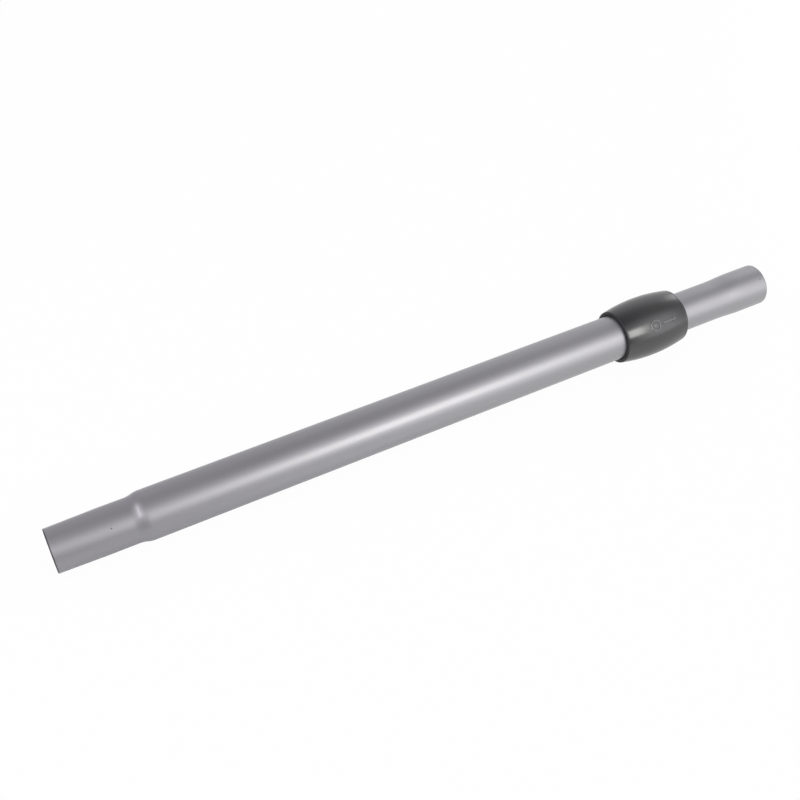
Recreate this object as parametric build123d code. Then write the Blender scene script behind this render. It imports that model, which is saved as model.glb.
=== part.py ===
from build123d import *
import math
import os

# Telescopic vacuum wand, closed. All sizes are in millimetres.
# The wand's axis lies along +X, from the rim of its lower spigot at the origin to its upper
# socket. Pieces are drawn with the collar's mark facing +Z, and are turned by mark_roll
# about the axis when they are written, because the wand lies with its mark to one side.
mark_roll = 48.0

# Clearances
press_gap = 0.05
slide_gap = 0.10
ball_gap = 0.03
free_gap = 0.30

# How far a cutting shape reaches past the face that it cuts
cut_past = 1.0

# Outer tube, drawn down to a slightly tapered spigot at its lower end
tube_od = 35.0
tube_wall = 1.0
tube_length = 458.0
spigot_od = 31.8
spigot_tip_od = 30.7
spigot_taper_length = 34.0
spigot_length = 54.0
shoulder_length = 10.0
rim_round = 0.3

# Inner tube, widened to a socket at its upper end
tube_space = 1.0
inner_wall = 0.8
inner_foot_gap = 4.0
inner_showing = 37.5
socket_widening = 0.85
socket_wall = 0.7
socket_length = 21.5
flare_length = 24.0

# Groove along the inner tube, and the guide sleeve's key in it
groove_radius = 2.5
groove_depth = 0.8
key_start = 1.0
key_length = 15.0

# Rings on the lower end of the inner tube
lip_seal_start = 1.0
lip_seal_length = 3.5
lip_seal_wall = 0.65
ring_space = 0.2
glide_ring_length = 11.0
stop_ring_length = 2.8
stop_ring_wall = 0.7
glide_pip_radius = 1.4

# Guide sleeve in the outer tube's end
sleeve_depth = 28.0
sleeve_body_wall = 2.1
sleeve_body_length = 30.0
sleeve_neck_wall = 1.4
sleeve_neck_length = 5.5
sleeve_seal_length = 3.0
lug_radius = 2.4
lug_inset = 6.0
bead_height = 0.3
bead_width = 0.6
bead_inset = 0.7

# Lock balls between the inner tube and the cam ring
ball_count = 6
ball_radius = 1.5
ball_station = 14.0
ball_first_angle = 30.0
window_lip = 0.3
window_lip_radius = 1.15

# Cam ring in the collar
cam_slope = 0.12
cam_wall = 0.54
cam_start = 7.0
cam_cone_length = 9.0
cam_land_length = 5.0

# Release collar: a barrel whose outline is one arc
collar_overlap = 17.0
collar_travel = 5.0
collar_height = 6.1
collar_belly = 28.5
collar_arc = 137.0
collar_wall = 1.8
collar_bore_gap = 0.55
lip_length = 2.5
lip_round = 0.5
cam_shoulder_relief = 0.4
cam_shoulder_length = 2.5
rib_count = 12
rib_width = 1.6
rib_root = 0.4

# Ring that closes the collar's upper end
end_ring_length = 2.4
end_ring_round = 2.2
end_ring_bore_gap = 0.35
end_ring_spigot_length = 2.1
end_ring_spigot_wall = 0.65

# End cap and wiper on the guide sleeve
wiper_length = 1.6
cap_skirt_wall = 0.65
cap_web_length = 4.5
cap_lip_length = 0.8
cap_bore_gap = 0.25
cap_step = 2.5
cap_step_depth = 0.7

# Return spring
spring_wire = 0.9
spring_turns = 4

# Mark on the collar: a ring with a wedge in it, and a plain arrow towards the upper end
mark_height = 0.35
mark_ring_od = 9.0
mark_ring_width = 0.9
mark_ring_place = 25.0
mark_wedge_length = 3.4
mark_wedge_width = 3.6
arrow_length = 14.0
arrow_width = 1.1
arrow_head_length = 3.6
arrow_head_width = 4.2
arrow_space = 2.0

# Radii and places that follow from the sizes above
tube_radius = tube_od / 2
tube_bore = tube_radius - tube_wall
spigot_radius = spigot_od / 2
spigot_tip_radius = spigot_tip_od / 2
shoulder_end = spigot_length + shoulder_length
inner_radius = tube_bore - tube_space
inner_bore = inner_radius - inner_wall
inner_start = shoulder_end + inner_foot_gap
socket_radius = inner_radius + socket_widening
socket_bore = socket_radius - socket_wall
ring_bore = inner_radius + press_gap / 2

lip_seal_x = inner_start + lip_seal_start
glide_ring_x = lip_seal_x + lip_seal_length + ring_space
stop_ring_x = glide_ring_x + glide_ring_length + ring_space
stop_ring_end = stop_ring_x + stop_ring_length

sleeve_start = tube_length - sleeve_depth
sleeve_bore = inner_radius + slide_gap
sleeve_insert_radius = tube_bore - press_gap
sleeve_body_radius = sleeve_bore + sleeve_body_wall
sleeve_body_end = tube_length + sleeve_body_length
sleeve_neck_radius = sleeve_bore + sleeve_neck_wall
sleeve_end = sleeve_body_end + sleeve_neck_length
seal_bore = inner_radius + slide_gap / 2
seal_start = sleeve_start - sleeve_seal_length

groove_axis = inner_radius - groove_depth + groove_radius
groove_wall_radius = groove_radius + inner_wall
groove_start = stop_ring_end + ring_space + groove_wall_radius
groove_end = sleeve_start + key_start + key_length + groove_radius

ball_x = tube_length + ball_station
ball_circle = inner_radius + ball_radius + ball_gap
cam_angle = math.atan(cam_slope)
cam_radius_at_ball = ball_circle + (ball_radius + ball_gap) / math.cos(cam_angle)
cam_x = ball_x - cam_start
cam_cone_end = cam_x + cam_cone_length
cam_end = cam_cone_end + cam_land_length
cam_cone_low = cam_radius_at_ball + cam_slope * (ball_x - cam_x)
cam_cone_high = cam_radius_at_ball + cam_slope * (ball_x - cam_cone_end)
cam_radius = cam_cone_low + cam_wall
cam_bore = sleeve_body_radius + 2 * slide_gap

wiper_x = sleeve_end + press_gap
cap_lip_start = wiper_x + wiper_length + press_gap
cap_end = cap_lip_start + cap_lip_length

collar_start = tube_length - collar_overlap
collar_body_end = cap_end + slide_gap
collar_end = collar_body_end + end_ring_length
flare_start = collar_end + inner_showing
socket_start = flare_start + flare_length
closed_length = socket_start + socket_length
collar_belly_x = collar_start + collar_belly
collar_max_radius = tube_radius + collar_height
collar_lip_bore = tube_radius + collar_bore_gap
collar_bore = cam_radius + press_gap

cap_skirt_start = cam_end + collar_travel + slide_gap
cap_web_start = cap_end - cap_web_length
cap_radius = collar_bore - free_gap
cap_skirt_bore = cap_radius - cap_skirt_wall
cap_neck_bore = sleeve_neck_radius + press_gap
spring_radius = (cam_bore + free_gap / 2 + cap_skirt_bore) / 2


def spun(outline):
    """Turns a closed outline, drawn in X and Z, about the wand's axis."""
    return revolve(make_face(outline), Axis.X)


def turned(points):
    """A turned solid from the corners of its section, each an (x, radius) pair."""
    corners = [(x, 0, radius) for x, radius in points]
    return spun(Polyline(*corners, close=True))


def ring(start, end, bore, radius):
    """A plain ring."""
    return turned([(start, bore), (end, bore), (end, radius), (start, radius)])


def soft_step(x_low, radius_low, x_high, radius_high):
    """The smooth S of a drawn or widened tube wall."""
    ends = [(x_low, 0, radius_low), (x_high, 0, radius_high)]
    return Spline(*ends, tangents=[(1, 0, 0), (1, 0, 0)])


def line(*points):
    """Straight runs of a section through (x, radius) pairs."""
    return Polyline(*[(x, 0, radius) for x, radius in points])


def radial_pin(x, angle, radius, bottom, top):
    """A round pin that stands out from the axis, turned by an angle from the mark."""
    pin = Pos(x, 0, (bottom + top) / 2) * Cylinder(radius, top - bottom)
    return Rot(angle, 0, 0) * pin


def cross_pin(x, radius, bottom, top):
    """Two opposite pins across the axis, cut round to follow the tubes."""
    pins = radial_pin(x, 90, radius, bottom - cut_past, top + cut_past)
    pins += radial_pin(x, -90, radius, bottom - cut_past, top + cut_past)
    return pins & ring(x - 2 * radius, x + 2 * radius, bottom, top)


def barrel_radius(x, depth):
    """Radius of the collar's barrel at x, a depth below its outer face."""
    arc = collar_arc - depth
    return collar_max_radius - collar_arc + math.sqrt(arc**2 - (x - collar_belly_x) ** 2)


def barrel_reach(radius, depth):
    """Distance from the belly at which the barrel comes down to a radius."""
    arc = collar_arc - depth
    return math.sqrt(arc**2 - (radius - collar_max_radius + collar_arc) ** 2)


def barrel_curve(x_low, x_high, depth):
    """The barrel's arc between two places."""
    x_middle = (x_low + x_high) / 2
    points = [(x, 0, barrel_radius(x, depth)) for x in (x_low, x_middle, x_high)]
    return ThreePointArc(*points)


def barrel_solid(x_low, x_high, depth):
    """The full barrel between two places, solid to the axis."""
    outline = barrel_curve(x_low, x_high, depth)
    outline += line(
        (x_high, barrel_radius(x_high, depth)),
        (x_high, 0),
        (x_low, 0),
        (x_low, barrel_radius(x_low, depth)),
    )
    return spun(outline)


def make_outer_tube():
    """Steel tube with its drawn spigot and shoulder, and two holes for the sleeve's lugs."""
    outline = line(
        (0, spigot_tip_radius),
        (spigot_taper_length, spigot_radius),
        (spigot_length, spigot_radius),
    )
    outline += soft_step(spigot_length, spigot_radius, shoulder_end, tube_radius)
    outline += line(
        (shoulder_end, tube_radius),
        (tube_length, tube_radius),
        (tube_length, tube_bore),
        (shoulder_end, tube_bore),
    )
    outline += soft_step(spigot_length, spigot_radius - tube_wall, shoulder_end, tube_bore)
    outline += line(
        (spigot_length, spigot_radius - tube_wall),
        (spigot_taper_length, spigot_radius - tube_wall),
        (0, spigot_tip_radius - tube_wall),
        (0, spigot_tip_radius),
    )
    tube = spun(outline)
    rim = tube.edges().filter_by(GeomType.CIRCLE).group_by(Axis.X)[0]
    tube = fillet(rim, rim_round)
    lug_x = tube_length - lug_inset
    return tube - cross_pin(lug_x, lug_radius + slide_gap, tube_bore - cut_past, tube_radius + cut_past)


def groove_tool(radius):
    """A round bar with ball ends, which presses the groove into the inner tube."""
    middle = (groove_start + groove_end) / 2
    bar = Pos(middle, 0, groove_axis) * Rot(0, 90, 0) * Cylinder(radius, groove_end - groove_start)
    for x in (groove_start, groove_end):
        bar += Pos(x, 0, groove_axis) * Sphere(radius)
    return bar


def inner_tube_form(radius, mouth_radius):
    """The solid form of the inner tube's outer or inner wall."""
    outline = line((inner_start, 0), (inner_start, radius), (flare_start, radius))
    outline += soft_step(flare_start, radius, socket_start, mouth_radius)
    outline += line(
        (socket_start, mouth_radius),
        (closed_length, mouth_radius),
        (closed_length, 0),
        (inner_start, 0),
    )
    return spun(outline)


def make_inner_tube():
    """Steel tube with its pressed groove and its socket, and two holes for the glide ring."""
    skin = inner_tube_form(inner_radius, socket_radius) - groove_tool(groove_radius)
    core = inner_tube_form(inner_bore, socket_bore) - groove_tool(groove_wall_radius)
    tube = skin - core
    pip_x = glide_ring_x + glide_ring_length / 2
    hole_radius = glide_pip_radius + slide_gap
    return tube - cross_pin(pip_x, hole_radius, inner_bore - cut_past, inner_radius + cut_past)


def make_glide_ring():
    """Plastic ring with two pips that sit in the inner tube's holes."""
    glide = ring(glide_ring_x, glide_ring_x + glide_ring_length, ring_bore, tube_bore - slide_gap)
    pip_x = glide_ring_x + glide_ring_length / 2
    pips = cross_pin(pip_x, glide_pip_radius, inner_bore + press_gap, inner_radius + stop_ring_wall)
    return glide + pips


def make_lip_seal():
    """Rubber ring with a lip that flares out to the outer tube's wall."""
    lip_radius = tube_bore - press_gap
    heel_radius = inner_radius + lip_seal_wall
    middle = lip_seal_x + lip_seal_length / 2
    end = lip_seal_x + lip_seal_length
    return turned(
        [
            (lip_seal_x, ring_bore),
            (end, ring_bore),
            (end, heel_radius),
            (middle, heel_radius),
            (lip_seal_x, lip_radius),
            (lip_seal_x, lip_radius - free_gap),
            (middle, heel_radius - free_gap),
            (lip_seal_x, heel_radius - free_gap),
        ]
    )


def make_guide_sleeve():
    """Plastic sleeve with the ball windows, two lugs, the key and a snap bead for the cap."""
    bead_end = sleeve_end - bead_inset
    bead_radius = sleeve_neck_radius + bead_height
    sleeve = turned(
        [
            (sleeve_start, sleeve_bore),
            (sleeve_end, sleeve_bore),
            (sleeve_end, sleeve_neck_radius),
            (bead_end, sleeve_neck_radius),
            (bead_end, bead_radius),
            (bead_end - bead_width, bead_radius),
            (bead_end - bead_width, sleeve_neck_radius),
            (sleeve_body_end, sleeve_neck_radius),
            (sleeve_body_end, sleeve_body_radius),
            (tube_length, sleeve_body_radius),
            (tube_length, sleeve_insert_radius),
            (sleeve_start, sleeve_insert_radius),
        ]
    )
    middle = (sleeve_bore + sleeve_insert_radius) / 2
    sleeve += cross_pin(tube_length - lug_inset, lug_radius, middle, tube_radius - slide_gap)
    key_x = sleeve_start + key_start
    key = Pos(key_x + key_length / 2, 0, groove_axis) * Rot(0, 90, 0)
    key = key * Cylinder(groove_radius - slide_gap, key_length)
    sleeve += key & ring(key_x, key_x + key_length, 0, middle)
    lip_top = sleeve_bore + window_lip
    for number in range(ball_count):
        angle = ball_first_angle + number * 360 / ball_count
        window_radius = ball_radius + press_gap
        sleeve -= radial_pin(ball_x, angle, window_radius, lip_top, sleeve_body_radius + cut_past)
        sleeve -= radial_pin(ball_x, angle, window_lip_radius, sleeve_bore - cut_past, lip_top + press_gap)
    return sleeve


def make_end_cap():
    """Plastic cap that snaps on the sleeve's neck, with a skirt round the return spring."""
    bead_end = sleeve_end - bead_inset + press_gap
    bead_start = bead_end - bead_width - 2 * press_gap
    bead_radius = cap_neck_bore + bead_height
    return turned(
        [
            (cap_skirt_start, cap_skirt_bore),
            (cap_web_start, cap_skirt_bore),
            (cap_web_start, cap_neck_bore),
            (bead_start, cap_neck_bore),
            (bead_start, bead_radius),
            (bead_end, bead_radius),
            (bead_end, cap_neck_bore),
            (cap_lip_start, cap_neck_bore),
            (cap_lip_start, inner_radius + cap_bore_gap),
            (cap_end, inner_radius + cap_bore_gap),
            (cap_end, cap_radius - cap_step_depth),
            (cap_end - cap_step, cap_radius - cap_step_depth),
            (cap_end - cap_step, cap_radius),
            (cap_skirt_start, cap_radius),
        ]
    )


def make_cam_ring():
    """Steel ring whose cone presses the balls inwards and frees them as it slides up."""
    return turned(
        [
            (cam_x, cam_cone_low),
            (cam_cone_end, cam_cone_high),
            (cam_cone_end, cam_bore),
            (cam_end, cam_bore),
            (cam_end, cam_radius),
            (cam_x, cam_radius),
        ]
    )


def make_return_spring():
    """Coil spring between the cam ring and the end cap."""
    wire_radius = spring_wire / 2
    start = cam_end + wire_radius + press_gap
    length = cap_web_start - wire_radius - press_gap - start
    path = Helix(length / spring_turns, length, spring_radius, (start, 0, 0), (1, 0, 0))
    section = Plane(origin=path @ 0, z_dir=path % 0) * Circle(wire_radius)
    return sweep(section, path)


def make_mark():
    """The flat outline of the mark, seen from above: a ring, a wedge in it and an arrow."""
    ring_x = collar_start + mark_ring_place
    mark = Pos(ring_x, 0) * (Circle(mark_ring_od / 2) - Circle(mark_ring_od / 2 - mark_ring_width))
    wedge = Polyline(
        (ring_x - mark_wedge_length / 2, mark_wedge_width / 2),
        (ring_x + mark_wedge_length / 2, 0),
        (ring_x - mark_wedge_length / 2, -mark_wedge_width / 2),
        close=True,
    )
    mark += make_face(wedge)
    arrow_x = ring_x + mark_ring_od / 2 + arrow_space
    neck_x = arrow_x + arrow_length - arrow_head_length
    arrow = Polyline(
        (arrow_x, arrow_width / 2),
        (neck_x, arrow_width / 2),
        (neck_x, arrow_head_width / 2),
        (arrow_x + arrow_length, 0),
        (neck_x, -arrow_head_width / 2),
        (neck_x, -arrow_width / 2),
        (arrow_x, -arrow_width / 2),
        close=True,
    )
    return mark + make_face(arrow)


def make_collar():
    """Barrel shell with a front lip, a shoulder and ribs for the cam ring, and the mark."""
    lip_end = collar_start + lip_length
    bore_x = collar_belly_x + barrel_reach(collar_bore, collar_wall)
    outline = barrel_curve(collar_start, collar_body_end, 0)
    outline += line(
        (collar_body_end, barrel_radius(collar_body_end, 0)),
        (collar_body_end, collar_bore),
        (bore_x, collar_bore),
    )
    outline += barrel_curve(lip_end, bore_x, collar_wall)
    outline += line(
        (lip_end, barrel_radius(lip_end, collar_wall)),
        (lip_end, collar_lip_bore),
        (collar_start, collar_lip_bore),
        (collar_start, barrel_radius(collar_start, 0)),
    )
    collar = spun(outline)
    rim = collar.edges().filter_by(GeomType.CIRCLE).group_by(Axis.X)[0]
    collar = fillet(rim.sort_by(SortBy.RADIUS)[-1], lip_round)
    root_radius = barrel_radius(cam_x, collar_wall - rib_root)
    collar += ring(cam_x - cam_shoulder_length, cam_x, cam_bore + cam_shoulder_relief, root_radius)
    ribs = barrel_solid(cam_x, bore_x, collar_wall - rib_root)
    ribs -= ring(cam_x - cut_past, bore_x + cut_past, 0, collar_bore)
    rib_blank = Pos((cam_x + bore_x) / 2, 0, collar_max_radius / 2)
    rib_blank = rib_blank * Box(bore_x - cam_x, rib_width, collar_max_radius)
    for number in range(rib_count):
        collar += ribs & (Rot(number * 360 / rib_count, 0, 0) * rib_blank)
    mark = Pos(0, 0, collar_bore) * extrude(make_mark(), collar_max_radius)
    mark_skin = barrel_solid(collar_start, collar_body_end, -mark_height)
    mark_skin -= barrel_solid(collar_start - cut_past, collar_body_end + cut_past, collar_wall / 2)
    return collar + (mark & mark_skin)


def make_end_ring():
    """Plastic ring welded into the collar's upper end, with a rounded outer edge."""
    start = collar_body_end + press_gap / 2
    outer = barrel_radius(start, 0)
    bore = inner_radius + end_ring_bore_gap
    spigot_end = start - end_ring_spigot_length
    spigot_radius_out = collar_bore - press_gap
    spigot_bore = spigot_radius_out - end_ring_spigot_wall
    corner = (collar_end - end_ring_round, outer - end_ring_round)
    diagonal = end_ring_round / math.sqrt(2)
    outline = line(
        (collar_end, corner[1]),
        (collar_end, bore),
        (start, bore),
        (start, spigot_bore),
        (spigot_end, spigot_bore),
        (spigot_end, spigot_radius_out),
        (start, spigot_radius_out),
        (start, outer),
        (corner[0], outer),
    )
    outline += ThreePointArc(
        (corner[0], 0, outer),
        (corner[0] + diagonal, 0, corner[1] + diagonal),
        (collar_end, 0, corner[1]),
    )
    return spun(outline)


def make_ball(number):
    """One lock ball, at its place round the inner tube."""
    angle = ball_first_angle + number * 360 / ball_count
    return Rot(angle, 0, 0) * Pos(ball_x, 0, ball_circle) * Sphere(ball_radius)


pieces = {
    "outer_tube": make_outer_tube(),
    "inner_tube": make_inner_tube(),
    "lock_collar": make_collar(),
    "collar_end_ring": make_end_ring(),
    "cam_ring": make_cam_ring(),
    "return_spring": make_return_spring(),
    "guide_sleeve": make_guide_sleeve(),
    "sleeve_seal": ring(seal_start, sleeve_start - press_gap / 2, seal_bore, sleeve_insert_radius),
    "end_cap": make_end_cap(),
    "wiper_seal": ring(wiper_x, wiper_x + wiper_length, seal_bore, sleeve_neck_radius),
    "lip_seal": make_lip_seal(),
    "glide_ring": make_glide_ring(),
    "stop_ring": ring(stop_ring_x, stop_ring_end, ring_bore, inner_radius + stop_ring_wall),
}
for number in range(ball_count):
    pieces[f"lock_ball_{number + 1}"] = make_ball(number)

os.makedirs("parts", exist_ok=True)
for name, piece in pieces.items():
    export_step(Rot(mark_roll, 0, 0) * piece, f"parts/{name}.step")

# Ranges of the two slides
print("telescope travel", round(seal_start - stop_ring_end - free_gap, 3))
print("collar travel", collar_travel)
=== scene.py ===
import math

import bmesh
import bpy
from mathutils import Matrix, Vector


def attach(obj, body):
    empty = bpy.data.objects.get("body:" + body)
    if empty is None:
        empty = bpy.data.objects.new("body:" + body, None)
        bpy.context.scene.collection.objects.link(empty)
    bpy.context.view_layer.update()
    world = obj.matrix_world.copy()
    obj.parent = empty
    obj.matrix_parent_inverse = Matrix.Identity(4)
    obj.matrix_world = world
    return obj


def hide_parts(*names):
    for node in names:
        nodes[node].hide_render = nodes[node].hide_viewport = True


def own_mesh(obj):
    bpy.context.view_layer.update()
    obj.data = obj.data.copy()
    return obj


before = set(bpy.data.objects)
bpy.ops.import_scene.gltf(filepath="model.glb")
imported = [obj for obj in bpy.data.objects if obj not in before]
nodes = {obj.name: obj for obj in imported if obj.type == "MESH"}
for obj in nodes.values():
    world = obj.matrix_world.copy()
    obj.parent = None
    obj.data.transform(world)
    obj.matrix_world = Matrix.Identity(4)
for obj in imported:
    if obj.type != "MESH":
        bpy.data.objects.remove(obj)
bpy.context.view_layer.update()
mm = 0.001

# Outer tube: steel tube of 35 mm, drawn down at its lower end over a smooth shoulder to a
# slightly tapered spigot, and sprayed with a satin silver lacquer that has a faint violet
# cast. Its other end is hidden under the release collar.
tube_radius = 17.5
tube_wall = 1.0
tube_end = 458.0
spigot_tip_radius = 15.35
spigot_tip_inset = 1.0
spigot_tip_rise = 0.016
spigot_radius = 15.9
spigot_taper_end = 34.0
shoulder_start = 54.0
shoulder_end = 64.0
shoulder_corner = 2.5
shoulder_round = 2.45
shoulder_round_steps = 7
support = 0.5
rim_round = 0.3
rim_round_steps = 4
tube_steps = 128
sharp_angle = math.radians(28)
metal_light = (0.370, 0.366, 0.378, 1)
metal_dark = (0.330, 0.326, 0.338, 1)
speck_colour = (0.035, 0.033, 0.035, 1)
rim_line_black = (0.050, 0.045, 0.055, 1)
bare_steel = (0.42, 0.41, 0.40, 1)


def closed_wire(corners):
    """A new mesh with one closed wire through (x, radius) corners in millimetres."""
    mesh = bmesh.new()
    points = [mesh.verts.new((x * mm, 0, radius * mm)) for x, radius in corners]
    for start, end in zip(points, points[1:] + points[:1]):
        mesh.edges.new((start, end))
    return mesh


def turn(mesh, steps):
    """Spins a wire section about the wand's axis into a closed solid."""
    bmesh.ops.spin(
        mesh,
        geom=mesh.verts[:] + mesh.edges[:],
        axis=(1, 0, 0),
        cent=(0, 0, 0),
        angle=math.tau,
        steps=steps,
        use_merge=True,
    )
    bmesh.ops.remove_doubles(mesh, verts=mesh.verts[:], dist=0.001 * mm)
    bmesh.ops.recalc_face_normals(mesh, faces=mesh.faces[:])


def round_ring(mesh, x, radius, width, segments):
    """Rounds the ring edge that lies at x and radius."""
    near = 0.02 * mm
    edges = [
        edge
        for edge in mesh.edges
        if all(
            abs(end.co.x - x * mm) < near and abs(end.co.yz.length - radius * mm) < near
            for end in edge.verts
        )
    ]
    bmesh.ops.bevel(
        mesh,
        geom=edges,
        offset=width * mm,
        offset_type="OFFSET",
        affect="EDGES",
        segments=segments,
        profile=0.5,
        material=-1,
        clamp_overlap=True,
    )


def finished(mesh, name, body, node, material):
    """Makes the mesh a piece that rides on a body in place of a CAD node."""
    for face in mesh.faces:
        face.smooth = True
    for edge in mesh.edges:
        edge.smooth = edge.calc_face_angle(0) < sharp_angle
    data = bpy.data.meshes.new(name)
    mesh.to_mesh(data)
    mesh.free()
    piece = bpy.data.objects.new(name, data)
    bpy.context.scene.collection.objects.link(piece)
    data.materials.append(material)
    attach(piece, body)
    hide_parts(node)
    return piece


def roll(mesh, angle):
    """Turns a whole mesh about the wand's axis."""
    turned = Matrix.Rotation(angle, 3, "X")
    bmesh.ops.rotate(mesh, verts=mesh.verts[:], cent=(0, 0, 0), matrix=turned)


class Wire:
    """One output of a finish's nodes. Arithmetic on wires adds Math nodes."""

    def __init__(self, finish, socket):
        self.finish = finish
        self.socket = socket

    def math(self, operation, *others):
        inputs = dict(enumerate((self, *others)))
        return self.finish.node("ShaderNodeMath", {"operation": operation}, inputs)

    def __add__(self, other):
        return self.math("ADD", other)

    def __sub__(self, other):
        return self.math("SUBTRACT", other)

    def __mul__(self, other):
        return self.math("MULTIPLY", other)

    def __truediv__(self, other):
        return self.math("DIVIDE", other)

    __radd__ = __add__
    __rmul__ = __mul__

    def __rsub__(self, other):
        return self * -1 + other

    def __rtruediv__(self, other):
        return self.math("POWER", -1) * other

    def step(self, low, high):
        """Rises smoothly from 0 to 1 between low and high."""
        settings = {"interpolation_type": "SMOOTHSTEP"}
        return self.finish.node("ShaderNodeMapRange", settings, {0: self, 1: low, 2: high})

    def fade(self, start, end):
        """Falls smoothly from 1 at start to 0 at end, whichever of them is larger."""
        if start < end:
            return 1 - self.step(start, end)
        return self.step(end, start)

    def either(self, other):
        """The larger of two wires."""
        return self.math("MAXIMUM", other)


class Finish:
    """A material, or the world, whose nodes all come from one method."""

    def __init__(self, name, shader="Principled BSDF", world=False):
        group = bpy.data.worlds if world else bpy.data.materials
        self.data = group.new(name)
        self.data.use_nodes = True
        self.tree = self.data.node_tree
        self.shader = self.tree.nodes.get(shader)

    def node(self, kind, settings=None, inputs=None, output=0):
        made = self.tree.nodes.new(kind)
        for key, value in (settings or {}).items():
            if key == "stops":
                ramp = made.color_ramp
                while len(ramp.elements) < len(value):
                    ramp.elements.new(1)
                for element, (place, colour) in zip(ramp.elements, value):
                    element.position = place
                    element.color = colour
            else:
                setattr(made, key, value)
        for key, value in (inputs or {}).items():
            self.plug(made.inputs[key], value)
        return Wire(self, made.outputs[output])

    def plug(self, socket, value):
        if isinstance(value, Wire):
            self.tree.links.new(value.socket, socket)
        else:
            socket.default_value = value

    def set(self, **values):
        """Sets sockets of the main shader, with spaces written as underscores."""
        for key, value in values.items():
            self.plug(self.shader.inputs[key.replace("_", " ")], value)

    def place(self, stretch=(1, 1, 1)):
        """Object coordinates, stretched along each axis."""
        where = self.node("ShaderNodeTexCoord", output="Object")
        return self.node("ShaderNodeMapping", None, {"Vector": where, "Scale": stretch})

    def part(self, vector, axis):
        """One of the three numbers of a vector."""
        return self.node("ShaderNodeSeparateXYZ", None, {0: vector}, axis)

    def noise(self, place, scale, detail=2.0, roughness=0.5):
        inputs = {"Vector": place, "Scale": scale, "Detail": detail, "Roughness": roughness}
        return self.node("ShaderNodeTexNoise", None, inputs)

    def blend(self, factor, low, high):
        """A colour between two colours."""
        inputs = {0: factor, 6: low, 7: high}
        return self.node("ShaderNodeMix", {"data_type": "RGBA"}, inputs, 2)

    def relief(self, height, strength, distance):
        inputs = {"Height": height, "Strength": strength, "Distance": distance}
        return self.node("ShaderNodeBump", None, inputs)

    def near(self, point, radius):
        """1 within a radius of a point and 0 outside it."""
        where = self.node("ShaderNodeTexCoord", output="Object")
        settings = {"operation": "DISTANCE"}
        away = self.node("ShaderNodeVectorMath", settings, {0: where, 1: point}, "Value")
        return away.fade(0.55 * radius, 1.25 * radius)


def lacquer(name, specks, rim, cut):
    """Satin silver lacquer with fine flake, drawing lines, specks, a worn rim and a near-black
    line at the very rim.
    """
    finish = Finish(name)
    flake = finish.noise(finish.place(), 2600, 1.0)
    cloud = finish.noise(finish.place((9, 60, 60)), 1.0, 3.0)
    lines = finish.noise(finish.place((14, 900, 900)), 1.0, 2.0)
    tone = cloud * 0.55 + lines * 0.3 + flake * 0.25 - 0.05
    colour = finish.blend(tone, metal_dark, metal_light)
    along = finish.part(finish.place(), 0)
    worn = along.fade(*[place * mm for place in rim])
    chips = finish.noise(finish.place((500, 500, 500)), 1.0, 4.0, 0.7).step(0.53, 0.66)
    colour = finish.blend(worn * chips * 0.55, colour, bare_steel)
    # A near-black line painted round the very rim of the tube.
    edge = along.fade(*[place * mm for place in cut])
    colour = finish.blend(edge * 0.95, colour, rim_line_black)
    for point, radius in specks:
        colour = finish.blend(finish.near(point, radius * mm), colour, speck_colour)
    rough = 0.36 + 0.06 * cloud + 0.05 * flake
    bumps = flake * 0.6 + lines * 0.4
    finish.set(
        Base_Color=colour,
        Metallic=0.8,
        Roughness=rough,
        Coat_Weight=0.25,
        Coat_Roughness=0.16,
        Normal=finish.relief(bumps, 0.06, 0.00012),
    )
    return finish.data


outer_section = [
    (0, spigot_tip_radius),
    (spigot_tip_inset, spigot_tip_radius + spigot_tip_rise),
    (spigot_taper_end, spigot_radius),
    (shoulder_start - support, spigot_radius),
    (shoulder_start + shoulder_corner, spigot_radius),
    (shoulder_end - shoulder_corner, tube_radius),
    (shoulder_end + support, tube_radius),
    (tube_end - support, tube_radius),
    (tube_end, tube_radius),
    (tube_end, tube_radius - tube_wall),
    (shoulder_end + support, tube_radius - tube_wall),
    (shoulder_end - shoulder_corner, tube_radius - tube_wall),
    (shoulder_start + shoulder_corner, spigot_radius - tube_wall),
    (shoulder_start - support, spigot_radius - tube_wall),
    (spigot_taper_end, spigot_radius - tube_wall),
    (0, spigot_tip_radius - tube_wall),
]
outer_mesh = closed_wire(outer_section)
turn(outer_mesh, tube_steps)
shoulder_corners = [
    (shoulder_start + shoulder_corner, spigot_radius),
    (shoulder_end - shoulder_corner, tube_radius),
]
for inset in (0, tube_wall):
    for x, radius in shoulder_corners:
        round_ring(outer_mesh, x, radius - inset, shoulder_round, shoulder_round_steps)
    round_ring(outer_mesh, 0, spigot_tip_radius - inset, rim_round, rim_round_steps)
outer_specks = [((0.03951, -0.01043, 0.01200), 0.48)]
outer_rim = (0.0, 1.6)
outer_rim_line = (0.45, 1.15)
outer_lacquer = lacquer("outer_tube_lacquer", outer_specks, outer_rim, outer_rim_line)
finished(outer_mesh, "outer_tube_dressed", "outer", "outer_tube", outer_lacquer)

# Inner tube: a 31 mm steel tube in the same lacquer, which slides in the outer one. A
# round-bottomed groove pressed along most of it keeps it from turning, and its upper end
# is widened over a short flare into a socket for the hose's handle.
inner_radius = 15.5
inner_wall = 0.8
inner_start = 68.0
flare_start = 536.0
flare_end = 560.0
flare_corner = 6.0
flare_round = 5.9
flare_round_steps = 9
socket_radius = 16.35
socket_wall = 0.7
socket_end = 581.5
socket_rim_round = 0.25
socket_rim_inset = 1.0
groove_depth = 0.8
groove_tool_radius = 2.5
groove_first = 90.2
groove_last = 448.5
groove_margin = 3.0
groove_reach = math.radians(11)
groove_cuts = 7
groove_end_cuts = (0.0, 0.8, 1.4, 1.8, 2.1, 2.3, 2.5)
mark_roll = math.radians(48)


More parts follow.
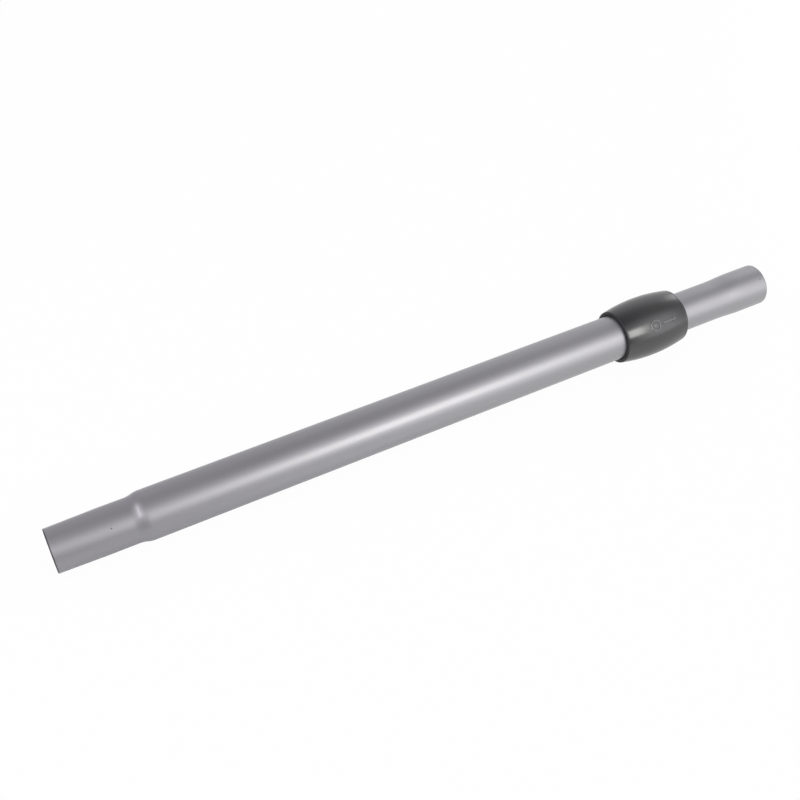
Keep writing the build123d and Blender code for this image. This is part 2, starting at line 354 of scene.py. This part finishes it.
def groove_fall(angle, x):
    """How far the groove's tool presses a wall inwards at an angle and a place along it."""
    beyond = max(groove_first - x, x - groove_last, 0)
    axis = inner_radius - groove_depth + groove_tool_radius
    side = axis * math.sin(angle)
    left = groove_tool_radius**2 - side**2 - beyond**2
    if left <= 0 or abs(angle) > groove_reach:
        return 0
    return max(inner_radius - (axis * math.cos(angle) - math.sqrt(left)), 0)


inner_section = [
    (inner_start, inner_radius),
    (groove_first - groove_margin, inner_radius),
    (groove_last + groove_margin, inner_radius),
    (flare_start - support, inner_radius),
    (flare_start + flare_corner, inner_radius),
    (flare_end - flare_corner, socket_radius),
    (flare_end + support, socket_radius),
    (socket_end - socket_rim_inset, socket_radius),
    (socket_end, socket_radius),
    (socket_end, socket_radius - socket_wall),
    (flare_end + support, socket_radius - socket_wall),
    (flare_end - flare_corner, socket_radius - socket_wall),
    (flare_start + flare_corner, inner_radius - inner_wall),
    (flare_start - support, inner_radius - inner_wall),
    (groove_last + groove_margin, inner_radius - inner_wall),
    (groove_first - groove_margin, inner_radius - inner_wall),
    (inner_start, inner_radius - inner_wall),
]
inner_mesh = closed_wire(inner_section)
turn(inner_mesh, tube_steps)
for radius in (inner_radius, inner_radius - inner_wall):
    flare_place = flare_start + flare_corner
    round_ring(inner_mesh, flare_place, radius, flare_round, flare_round_steps)
for radius in (socket_radius, socket_radius - socket_wall):
    flare_place = flare_end - flare_corner
    round_ring(inner_mesh, flare_place, radius, flare_round, flare_round_steps)
    round_ring(inner_mesh, socket_end, radius, socket_rim_round, rim_round_steps)
roll(inner_mesh, -mark_roll)
for end, outward in ((groove_first, -1), (groove_last, 1)):
    for reach in groove_end_cuts:
        bmesh.ops.bisect_plane(
            inner_mesh,
            geom=inner_mesh.verts[:] + inner_mesh.edges[:] + inner_mesh.faces[:],
            plane_co=((end + outward * reach) * mm, 0, 0),
            plane_no=(1, 0, 0),
        )
groove_edges = []
groove_range = groove_margin + 0.1
same_place = 0.01 * mm
for edge in inner_mesh.edges:
    start, end = (vert.co for vert in edge.verts)
    middle = (start + end) / 2
    level = abs(start.x - end.x) < same_place
    across = level and abs(start.yz.length - end.yz.length) < same_place
    on_top = abs(math.atan2(middle.y, middle.z)) < groove_reach
    beside_groove = groove_first - groove_range < middle.x / mm < groove_last + groove_range
    if across and on_top and beside_groove:
        groove_edges.append(edge)
bmesh.ops.subdivide_edges(inner_mesh, edges=groove_edges, cuts=groove_cuts, use_grid_fill=True)
for vert in inner_mesh.verts:
    angle = math.atan2(vert.co.y, vert.co.z)
    x = vert.co.x / mm
    beside_groove = groove_first - groove_margin < x < groove_last + groove_margin
    if abs(angle) < groove_reach and beside_groove:
        outside = vert.co.yz.length > (inner_radius - inner_wall / 2) * mm
        wall = inner_radius if outside else inner_radius - inner_wall
        pressed = (wall - groove_fall(angle, x)) * mm
        vert.co.yz = Vector((math.sin(angle), math.cos(angle))) * pressed
roll(inner_mesh, mark_roll)
inner_specks = [((0.57728, -0.00898, 0.01366), 0.5)]
inner_rim = (socket_end, socket_end - 1.4)
inner_rim_line = (socket_end - 0.15, socket_end - 0.6)
inner_lacquer = lacquer("inner_tube_lacquer", inner_specks, inner_rim, inner_rim_line)
finished(inner_mesh, "inner_tube_dressed", "inner", "inner_tube", inner_lacquer)

# Release collar: a barrel of black moulded plastic that is slid to free the telescope. Its
# outline is one long arc. A shoulder inside holds the steel cam ring, and a ring with a
# wedge in it and an arrow are moulded proud of its outer face. Their raised faces are given
# a lighter grey than the barrel, a painted highlight for the light caught on their edges.
barrel_arc = 137.0
belly_x = 469.5
belly_radius = 23.6
collar_start = 441.0
collar_body_end = 496.1
collar_wall = 1.8
collar_bore = 20.0
lip_end = 443.5
lip_bore = 18.05
lip_round = 0.5
lip_round_steps = 5
lip_bore_round = 0.2
bore_round_steps = 3
cam_shoulder = (462.5, 465.0, 18.3)
barrel_steps = 26
mark_height = 0.35
mark_sink = 0.6
mark_round = 0.15
mark_round_steps = 3
mark_slice = 1.0
mark_slice_shift = 0.37
mark_ring_steps = 56
mark_ring_x = 466.0
mark_ring_radius = 4.5
mark_ring_width = 0.9
mark_wedge_length = 3.4
mark_wedge_width = 3.6
arrow_start = 472.5
arrow_neck = 482.9
arrow_tip = 486.5
arrow_half_width = 0.55
arrow_head_half_width = 2.1
mark_edge = (0.10, 0.28)
lip_edge = (0.1, 0.5)
black_plastic = (0.004, 0.004, 0.004, 1)
grey_plastic = (0.008, 0.008, 0.008, 1)
# Lighter grey for the raised mark, a painted highlight for light caught on its edges.
mark_painted_highlight = (0.085, 0.083, 0.081, 1)


def barrel_radius(x, depth=0.0):
    """Radius of the barrel at x, a depth below its face, in millimetres."""
    arc = barrel_arc - depth
    return belly_radius - barrel_arc + math.sqrt(arc**2 - (x - belly_x) ** 2)


def barrel_wire(mesh, x_from, x_to, depth=0.0):
    """An arc of the barrel's outline, spun from one point about the arc's centre."""
    first = mesh.verts.new((x_from * mm, 0, barrel_radius(x_from, depth) * mm))
    radius = barrel_arc - depth
    swing = math.asin((x_to - belly_x) / radius) - math.asin((x_from - belly_x) / radius)
    made = bmesh.ops.spin(
        mesh,
        geom=[first],
        axis=(0, 1, 0),
        cent=(belly_x * mm, 0, (belly_radius - barrel_arc) * mm),
        angle=swing,
        steps=barrel_steps,
    )
    last = [item for item in made["geom_last"] if isinstance(item, bmesh.types.BMVert)][0]
    return first, last


collar_mesh = bmesh.new()
outer_first, outer_last = barrel_wire(collar_mesh, collar_start, collar_body_end)
inner_first, inner_last = barrel_wire(collar_mesh, lip_end, cam_shoulder[0], collar_wall)
chain = [outer_last]
shoulder_from, shoulder_to, shoulder_bore = cam_shoulder
inside = [
    (collar_body_end, collar_bore),
    (shoulder_to, collar_bore),
    (shoulder_to, shoulder_bore),
    (shoulder_from, shoulder_bore),
]
chain += [collar_mesh.verts.new((x * mm, 0, radius * mm)) for x, radius in inside]
chain += [inner_last]
for start, end in zip(chain, chain[1:]):
    collar_mesh.edges.new((start, end))
lip = [(lip_end, lip_bore), (collar_start, lip_bore)]
chain = [inner_first] + [collar_mesh.verts.new((x * mm, 0, radius * mm)) for x, radius in lip]
chain += [outer_first]
for start, end in zip(chain, chain[1:]):
    collar_mesh.edges.new((start, end))
turn(collar_mesh, tube_steps)
lip_radius = barrel_radius(collar_start)
round_ring(collar_mesh, collar_start, lip_radius, lip_round, lip_round_steps)
round_ring(collar_mesh, collar_start, lip_bore, lip_bore_round, bore_round_steps)


def raised(flat):
    """Gives flat faces, drawn in X and Y in millimetres, thickness and lays them on the barrel."""
    grown = bmesh.ops.extrude_face_region(flat, geom=flat.faces[:])["geom"]
    tops = [item for item in grown if isinstance(item, bmesh.types.BMVert)]
    bmesh.ops.translate(flat, verts=tops, vec=(0, 0, mark_sink + mark_height))
    top_edges = [
        edge
        for edge in flat.edges
        if all(vert in tops for vert in edge.verts)
        and any(face.normal.z < 0.5 for face in edge.link_faces)
    ]
    bmesh.ops.recalc_face_normals(flat, faces=flat.faces[:])
    bmesh.ops.bevel(
        flat,
        geom=top_edges,
        offset=mark_round,
        offset_type="OFFSET",
        affect="EDGES",
        segments=mark_round_steps,
        profile=0.5,
        material=-1,
    )
    xs = [vert.co.x for vert in flat.verts]
    cut = math.ceil(min(xs)) + mark_slice_shift
    while cut < max(xs):
        bmesh.ops.bisect_plane(
            flat,
            geom=flat.verts[:] + flat.edges[:] + flat.faces[:],
            plane_co=(cut, 0, 0),
            plane_no=(1, 0, 0),
        )
        cut += mark_slice
    for vert in flat.verts:
        x, y, height = vert.co
        radius = barrel_radius(x) - mark_sink + height
        vert.co = Vector((x, y, math.sqrt(radius**2 - y**2))) * mm
    roll(flat, mark_roll)
    bmesh.ops.recalc_face_normals(flat, faces=flat.faces[:])
    return flat


def joined(mesh, other):
    """Adds another mesh's shape to this one."""
    carrier = bpy.data.meshes.new("carrier")
    other.to_mesh(carrier)
    other.free()
    mesh.from_mesh(carrier)
    bpy.data.meshes.remove(carrier)


ring_flat = bmesh.new()
bmesh.ops.create_circle(
    ring_flat,
    cap_ends=True,
    radius=mark_ring_radius,
    segments=mark_ring_steps,
)
bmesh.ops.inset_individual(ring_flat, faces=ring_flat.faces[:], thickness=mark_ring_width)
hub = min(ring_flat.faces, key=lambda face: face.calc_center_median().length)
bmesh.ops.delete(ring_flat, geom=[hub], context="FACES")
bmesh.ops.translate(ring_flat, verts=ring_flat.verts[:], vec=(mark_ring_x, 0, 0))
wedge_flat = bmesh.new()
half_length = mark_wedge_length / 2
half_width = mark_wedge_width / 2
arrow_flat = bmesh.new()
outlines = {
    wedge_flat: [
        (mark_ring_x - half_length, -half_width),
        (mark_ring_x + half_length, 0),
        (mark_ring_x - half_length, half_width),
    ],
    arrow_flat: [
        (arrow_start, -arrow_half_width),
        (arrow_neck, -arrow_half_width),
        (arrow_neck, -arrow_head_half_width),
        (arrow_tip, 0),
        (arrow_neck, arrow_head_half_width),
        (arrow_neck, arrow_half_width),
        (arrow_start, arrow_half_width),
    ],
}
for flat, outline in outlines.items():
    flat.faces.new([flat.verts.new((x, y, 0)) for x, y in outline])
for flat in (ring_flat, wedge_flat, arrow_flat):
    joined(collar_mesh, raised(flat))
collar_gloss = Finish("collar_plastic")
cloud = collar_gloss.noise(collar_gloss.place((25, 130, 130)), 1.0, 3.0)
fine = collar_gloss.noise(collar_gloss.place(), 2200, 2.0)
along, across, up = [collar_gloss.part(collar_gloss.place(), axis) for axis in range(3)]
from_axis = (across * across + up * up).math("SQRT")
from_belly = along - belly_x * mm
barrel_face = belly_radius * mm - from_belly * from_belly / (2 * barrel_arc * mm)
proud = (from_axis - barrel_face).step(*[height * mm for height in mark_edge])
lip_face = along.fade(*[(collar_start + depth) * mm for depth in lip_edge])
skin = collar_gloss.blend(cloud, black_plastic, grey_plastic)
# The raised mark gets the lighter grey, a painted highlight, and a little less roughness.
collar_gloss.set(
    Base_Color=collar_gloss.blend(proud, skin, mark_painted_highlight),
    Roughness=0.17 + 0.12 * cloud - 0.08 * proud + 0.50 * lip_face,
    IOR=1.85,
    Normal=collar_gloss.relief(fine, 0.12, 0.00008),
)
collar_plastic = collar_gloss.data
finished(
    collar_mesh,
    "lock_collar_dressed",
    "collar",
    "lock_collar",
    collar_plastic,
)

# End ring: the same black plastic, welded into the collar's upper end to close it. Its
# outer edge is rounded over, and its bore clears the inner tube.
end_ring_start = 496.125
end_ring_end = 498.5
end_ring_round = 2.2
end_ring_round_steps = 8
end_ring_bore = 15.85
end_ring_bore_round = 0.25
end_ring_spigot_start = 494.025
end_ring_spigot_radius = 19.95
end_ring_spigot_bore = 19.3
end_ring_radius = barrel_radius(end_ring_start)
end_ring_section = [
    (end_ring_end, end_ring_radius),
    (end_ring_end, end_ring_bore),
    (end_ring_start, end_ring_bore),
    (end_ring_start, end_ring_spigot_bore),
    (end_ring_spigot_start, end_ring_spigot_bore),
    (end_ring_spigot_start, end_ring_spigot_radius),
    (end_ring_start, end_ring_spigot_radius),
    (end_ring_start, end_ring_radius),
]
end_ring_mesh = closed_wire(end_ring_section)
turn(end_ring_mesh, tube_steps)
round_ring(end_ring_mesh, end_ring_end, end_ring_radius, end_ring_round, end_ring_round_steps)
round_ring(end_ring_mesh, end_ring_end, end_ring_bore, end_ring_bore_round, bore_round_steps)
finished(
    end_ring_mesh,
    "collar_end_ring_dressed",
    "collar",
    "collar_end_ring",
    collar_plastic,
)

# Return spring: four turns of drawn spring wire round the guide sleeve, between the cam ring
# and the end cap. It pushes the collar back to locked, and closes up as the collar slides.
spring_start = 479.5
spring_length = 11.5
spring_radius = 18.55
spring_wire_radius = 0.45
spring_wire_steps = 12
spring_turns = 4
spring_turn_steps = 36
steel_bright = (0.50, 0.50, 0.51, 1)
steel_dull = (0.36, 0.36, 0.37, 1)
spring_mesh = bmesh.new()
wire_radius = spring_wire_radius * mm
bmesh.ops.create_circle(spring_mesh, radius=wire_radius, segments=spring_wire_steps)
roll(spring_mesh, math.radians(90))
first_place = (spring_start * mm, 0, spring_radius * mm)
bmesh.ops.translate(spring_mesh, verts=spring_mesh.verts[:], vec=first_place)
spring_steps = spring_turns * spring_turn_steps
bmesh.ops.spin(
    spring_mesh,
    geom=spring_mesh.verts[:] + spring_mesh.edges[:],
    axis=(1, 0, 0),
    cent=(0, 0, 0),
    dvec=(spring_length / spring_steps * mm, 0, 0),
    angle=math.tau * spring_turns,
    steps=spring_steps,
)
open_edges = [edge for edge in spring_mesh.edges if edge.is_boundary]
bmesh.ops.holes_fill(spring_mesh, edges=open_edges, sides=0)
bmesh.ops.recalc_face_normals(spring_mesh, faces=spring_mesh.faces[:])


def worked_steel(name, rough, stretch):
    """Bare steel with fine lines left by drawing or turning."""
    finish = Finish(name)
    lines = finish.noise(finish.place(stretch), 1.0, 3.0)
    cloud = finish.noise(finish.place(), 120, 2.0)
    colour = finish.blend(cloud * 0.6 + lines * 0.4, steel_dull, steel_bright)
    finish.set(
        Base_Color=colour,
        Metallic=1.0,
        Roughness=rough + 0.10 * lines,
        Normal=finish.relief(lines, 0.15, 0.00003),
    )
    return finish.data


spring_steel = worked_steel("spring_wire", 0.26, (1500, 700, 700))
spring = finished(
    spring_mesh,
    "return_spring_wound",
    "outer",
    "return_spring",
    spring_steel,
)
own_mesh(spring)

# Cam ring and stop ring: turned from steel, with fine lines round them. The cam ring is
# pressed into the collar, and the stop ring on the inner tube's foot.


def dress(names, material):
    """Gives solids that stay as they are their finish."""
    for name in names:
        for place in nodes[name].material_slots:
            place.material = material


dress(["cam_ring", "stop_ring"], worked_steel("turned_rings", 0.24, (2600, 60, 60)))

# Lock balls: six steel balls, hardened and polished. They sit in the guide sleeve's windows,
# and the cam ring's cone presses them on the inner tube.
ball_bright = (0.62, 0.62, 0.63, 1)
ball_shade = (0.50, 0.50, 0.52, 1)
ball_names = [f"lock_ball_{number}" for number in range(1, 7)]
polished = Finish("polished_balls")
scuff = polished.noise(polished.place(), 900, 3.0)
polished.set(
    Base_Color=polished.blend(scuff, ball_shade, ball_bright),
    Metallic=1.0,
    Roughness=0.08 + 0.08 * scuff,
    Normal=polished.relief(scuff, 0.05, 0.00001),
)
dress(ball_names, polished.data)

# Guide sleeve and glide ring: moulded in a natural grey, low-friction plastic. The sleeve
# snaps into the outer tube by its two lugs, the ring onto the inner tube's foot by its pips.
sleeve_light = (0.58, 0.58, 0.56, 1)
sleeve_shade = (0.49, 0.49, 0.47, 1)


def moulded(name, low, high, roughness, grain):
    """Moulded plastic with a fine spark-eroded grain and a soft sheen."""
    finish = Finish(name)
    cloud = finish.noise(finish.place(), 55, 3.0)
    fine = finish.noise(finish.place(), 2200, 2.0)
    colour = finish.blend(cloud, low, high)
    finish.set(
        Base_Color=colour,
        Roughness=roughness - 0.04 + 0.08 * cloud,
        Normal=finish.relief(fine, grain, 0.00008),
    )
    return finish.data


sleeve_plastic = moulded("sleeve_plastic", sleeve_shade, sleeve_light, 0.48, 0.16)
dress(["guide_sleeve", "glide_ring"], sleeve_plastic)

# End cap: moulded in matt black plastic. It snaps over the bead on the guide sleeve's neck
# and carries the outer end of the return spring.
cap_dark = (0.022, 0.022, 0.023, 1)
cap_grey = (0.040, 0.040, 0.041, 1)
dress(["end_cap"], moulded("cap_plastic", cap_dark, cap_grey, 0.50, 0.20))

# Sleeve seal and lip seal: matt black rubber with a slight bloom. One lies at the sleeve's
# inner end, and the other's lip rubs on the outer tube's wall.
rubber_dark = (0.012, 0.012, 0.012, 1)
rubber_bloom = (0.045, 0.045, 0.046, 1)
rubber = Finish("seal_rubber_finish")
bloom = rubber.noise(rubber.place(), 260, 4.0, 0.65)
pores = rubber.noise(rubber.place(), 3200, 2.0)
rubber.set(
    Base_Color=rubber.blend(bloom.step(0.4, 0.75), rubber_dark, rubber_bloom),
    Roughness=0.62 + 0.16 * bloom,
    Normal=rubber.relief(pores, 0.25, 0.00003),
)
dress(["sleeve_seal", "lip_seal"], rubber.data)

# Wiper seal: a ring punched from dense dark felt. It is held in the end cap and wipes the
# inner tube.
felt_dark = (0.055, 0.055, 0.055, 1)
felt_light = (0.15, 0.15, 0.145, 1)
felt = Finish("wiper_felt_finish")
fibres = felt.noise(felt.place((2600, 900, 900)), 1.0, 5.0, 0.7)
tufts = felt.noise(felt.place(), 1400, 4.0, 0.7)
felt.set(
    Base_Color=felt.blend(fibres * 0.6 + tufts * 0.4, felt_dark, felt_light),
    Roughness=0.88 + 0.08 * tufts,
    Normal=felt.relief(fibres * 0.5 + tufts * 0.5, 0.6, 0.00012),
)
dress(["wiper_seal"], felt.data)

# Floor: a pale studio sheet under the wand, which lies on the collar's belly and on the
# tube's shoulder, so the sheet leans by under a degree against the wand's axis.
floor_height = -23.584
floor_slope = -0.01512
floor_height_x = 467.4
floor_middle = 300.0
floor_half = 3000.0
floor_seen = 0.97
floor_mirrored = 0.8
mirrored_from = -0.05
mirrored_full = 0.55
floor_grey = (0.86, 0.86, 0.86, 1)
floor_mesh = bmesh.new()
bmesh.ops.create_grid(floor_mesh, x_segments=1, y_segments=1, size=floor_half * mm)
for vert in floor_mesh.verts:
    vert.co.x += floor_middle * mm
    vert.co.z = (floor_height + floor_slope * (vert.co.x / mm - floor_height_x)) * mm
floor_data = bpy.data.meshes.new("floor")
floor_mesh.to_mesh(floor_data)
floor_mesh.free()
floor = bpy.data.objects.new("floor", floor_data)
bpy.context.scene.collection.objects.link(floor)
paper = Finish("floor_paper")
paper.set(Base_Color=floor_grey, Roughness=0.2, IOR=1.7)
seen = paper.node("ShaderNodeLightPath", output="Is Camera Ray")
mirrored = paper.node("ShaderNodeLightPath", output="Is Glossy Ray")
passed = paper.node("ShaderNodeLightPath", output="Is Transmission Ray")
# Reflections see the sheet glowing white, not at all past its lower end and up to 0.8 of white
# towards its upper end: a painted reflection that brightens the wand's underside towards the upper
# end. The camera sees it glow nearly white all over.
reflected_glow_ramp = paper.part(paper.place(), 0).step(mirrored_from, mirrored_full) * floor_mirrored
share = (seen * floor_seen).either(mirrored * reflected_glow_ramp).either(passed * floor_seen)
glow = paper.node("ShaderNodeEmission", None, {"Color": (1, 1, 1, 1), "Strength": 1.0})
plain = Wire(paper, paper.shader.outputs[0])
shown = paper.node("ShaderNodeMixShader", None, {0: share, 1: plain, 2: glow})
paper.plug(paper.tree.nodes["Material Output"].inputs["Surface"], shown)
floor_data.materials.append(paper.data)

# Studio light: a strip softbox in front of the wand, one over its lower end and one past its
# upper end, in a cloth tent with three walls. Each wall's brightness goes by the angle over
# the wand, from behind it (-90) to in front of it (90).
tent_left = [
    (-90, 0.68),
    (-70, 0.62),
    (-50, 0.54),
    (-35, 0.40),
    (-18, 0.28),
    (5, 0.31),
    (22, 0.60),
    (38, 1.00),
    (55, 0.78),
    (72, 0.42),
    (90, 0.30),
]
tent_right = [
    (-90, 0.95),
    (-70, 0.95),
    (-50, 0.88),
    (-35, 0.70),
    (-18, 0.50),
    (5, 0.54),
    (22, 1.10),
    (38, 1.72),
    (55, 1.75),
    (72, 1.95),
    (90, 2.00),
]
tent_end = [
    (-90, 1.20),
    (-70, 1.25),
    (-50, 1.05),
    (-35, 0.85),
    (-18, 0.75),
    (5, 0.62),
    (22, 0.60),
    (38, 0.62),
    (55, 0.66),
    (72, 0.90),
    (90, 1.20),
]
cloth_left = (1.01, 0.985, 1.06)
cloth_right = (1.0, 0.993, 1.03)
right_wall = (0.05, 0.55)
end_wall = (0.66, 0.86)
tent_strength = 3.0


def softbox(name, place, target, along, around, power, colour):
    """A rectangular area light that faces a point, with one side along the wand."""
    data = bpy.data.lights.new(name, "AREA")
    data.shape = "RECTANGLE"
    data.size = along
    data.size_y = around
    data.energy = power
    data.color = colour
    lamp = bpy.data.objects.new(name, data)
    back = (Vector(place) - Vector(target)).normalized()
    side = (Vector((1, 0, 0)) - back * back.x).normalized()
    facing = Matrix((side, back.cross(side), back)).transposed()
    lamp.matrix_world = Matrix.LocRotScale(Vector(place), facing, None)
    bpy.context.scene.collection.objects.link(lamp)


softbox(
    "strip_softbox",
    place=(0.92, -1.585, 1.155),
    target=(0.30, 0, 0),
    along=0.5,
    around=0.9,
    power=8.4,
    colour=(1, 0.995, 0.93),
)
softbox(
    "left_softbox",
    place=(-0.53, -0.12, 0.99),
    target=(0.06, 0, 0),
    along=0.18,
    around=1.2,
    power=3.8,
    colour=(1, 0.99, 1.03),
)
softbox(
    "end_softbox",
    place=(2.20, 0.80, 0.65),
    target=(0.45, 0, 0),
    along=0.9,
    around=0.9,
    power=4.0,
    colour=(1, 1, 1),
)
room = Finish("light_tent", "Background", world=True)


def tent_wall(finish, places, stops, cloth):
    """The tent's brightness, set by the angle over the wand from behind it to in front."""
    shades = []
    for angle, level in stops:
        colour = [tint * level / tent_strength for tint in cloth]
        shades.append((0.5 + angle / 180, (*colour, 1)))
    return finish.node("ShaderNodeValToRGB", {"stops": shades}, {0: places})


way = room.node("ShaderNodeTexCoord", output="Generated")
along, across, up = [room.part(way, axis) for axis in range(3)]
over = (0 - across).math("ARCTAN2", up) / math.pi + 0.5
tent = tent_wall(room, over, tent_left, cloth_left)
for begins, stops in ((right_wall, tent_right), (end_wall, tent_end)):
    tent = room.blend(along.step(*begins), tent, tent_wall(room, over, stops, cloth_right))
direct = room.node("ShaderNodeLightPath", output="Is Camera Ray")
white = (1 / tent_strength, 1 / tent_strength, 1 / tent_strength, 1)
room.set(Color=room.blend(direct, tent, white), Strength=tent_strength)
bpy.context.scene.world = room.data

# Camera: at the photograph's viewing angle, with its lens and distance worked out from the
# tube's outline and the ellipses of its ends.
camera_lens = 47.25
camera_sensor = 36
camera_place = Vector((0.00901, -0.46373, 0.54560))
camera_right = Vector((0.88462, -0.46631, 0.0))
camera_above = Vector((0.33050, 0.62699, 0.70544))
camera_ahead = Vector((0.32895, 0.62405, -0.70877))
camera_data = bpy.data.cameras.new("camera")
camera_data.lens = camera_lens
camera_data.sensor_width = camera_sensor
camera_data.clip_start = 0.01
camera_data.clip_end = 50
camera = bpy.data.objects.new("camera", camera_data)
camera_facing = Matrix((camera_right, camera_above, -camera_ahead)).transposed()
camera.matrix_world = Matrix.LocRotScale(camera_place, camera_facing, None)
bpy.context.scene.collection.objects.link(camera)
bpy.context.scene.camera = camera
bpy.context.scene.view_settings.view_transform = "Standard"
